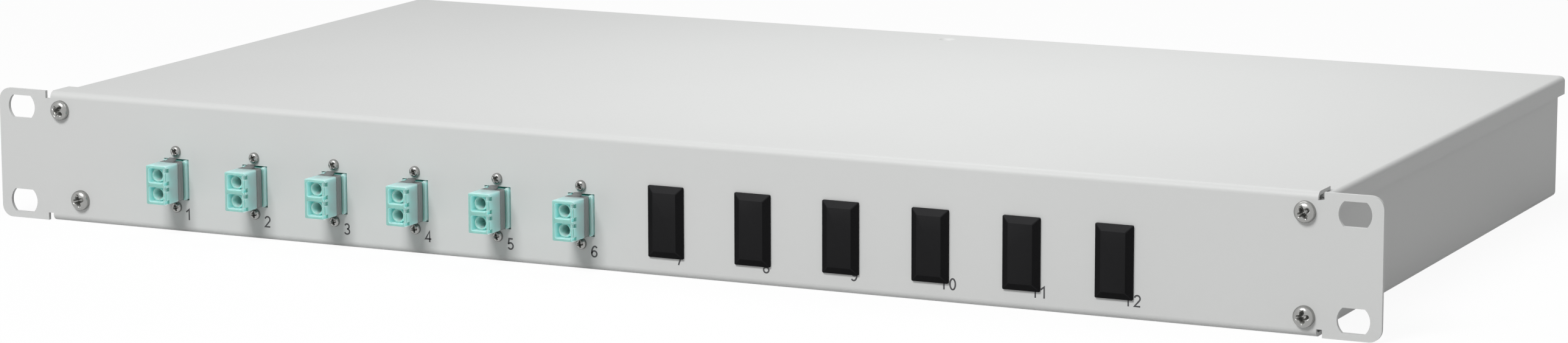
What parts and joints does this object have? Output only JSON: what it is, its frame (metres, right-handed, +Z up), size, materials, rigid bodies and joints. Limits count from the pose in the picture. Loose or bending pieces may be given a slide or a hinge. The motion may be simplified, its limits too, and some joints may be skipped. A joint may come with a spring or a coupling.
{
  "type": "fibre patch panel",
  "caption": "Rack-mount fibre patch panel: folded front plate with ears, duplex adapters and blanking plugs, on a flat housing with a sliding lid.",
  "frame": {"origin": "centre of the rack slot pattern, on the back face of the ears", "axes": "+X to the right seen from the front, +Y back into the rack, +Z up"},
  "size_m": [0.4826, 0.2773, 0.0436],
  "materials": {
    "grey_paint": "fine textured powder coat",
    "adapter_plastic": "moulded satin",
    "clip_steel": "bare spring steel",
    "screw_steel": "bright zinc plated",
    "plug_plastic": "moulded matt",
    "gland_plastic": "moulded satin",
    "seal_rubber": "moulded",
    "cassette_plastic": "moulded satin",
    "clear_plastic": "clear",
    "comb_plastic": "moulded satin"
  },
  "bodies": {
    "housing": {"front_plate": "grey_paint", "housing_tray": "grey_paint", "front_plate_screws": "screw_steel", "adapter_screws": "screw_steel", "gland_body": "gland_plastic", "gland_cap_nut": "gland_plastic", "gland_seal": "seal_rubber", "gland_locknut": "gland_plastic", "entry_stopper": "plug_plastic", "splice_cassette": "cassette_plastic", "cassette_cover": "clear_plastic", "splice_combs": "comb_plastic", "cassette_stud": "screw_steel", "cassette_nut": "screw_steel", "fibre_guides": "comb_plastic", "adapter_1": "adapter_plastic", "adapter_clip_1": "clip_steel", "adapter_2": "adapter_plastic", "adapter_clip_2": "clip_steel", "adapter_3": "adapter_plastic", "adapter_clip_3": "clip_steel", "adapter_4": "adapter_plastic", "adapter_clip_4": "clip_steel", "adapter_5": "adapter_plastic", "adapter_clip_5": "clip_steel", "adapter_6": "adapter_plastic", "adapter_clip_6": "clip_steel", "blank_plug_7": "plug_plastic", "blank_plug_8": "plug_plastic", "blank_plug_9": "plug_plastic", "blank_plug_10": "plug_plastic", "blank_plug_11": "plug_plastic", "blank_plug_12": "plug_plastic"},
    "lid": {"lid": "grey_paint"}
  },
  "joints": [
    {"name": "lid_slide", "type": "slide", "parent": "housing", "child": "lid", "axis": [0, 1, 0], "range_m": [0, 0.2]}
  ]
}
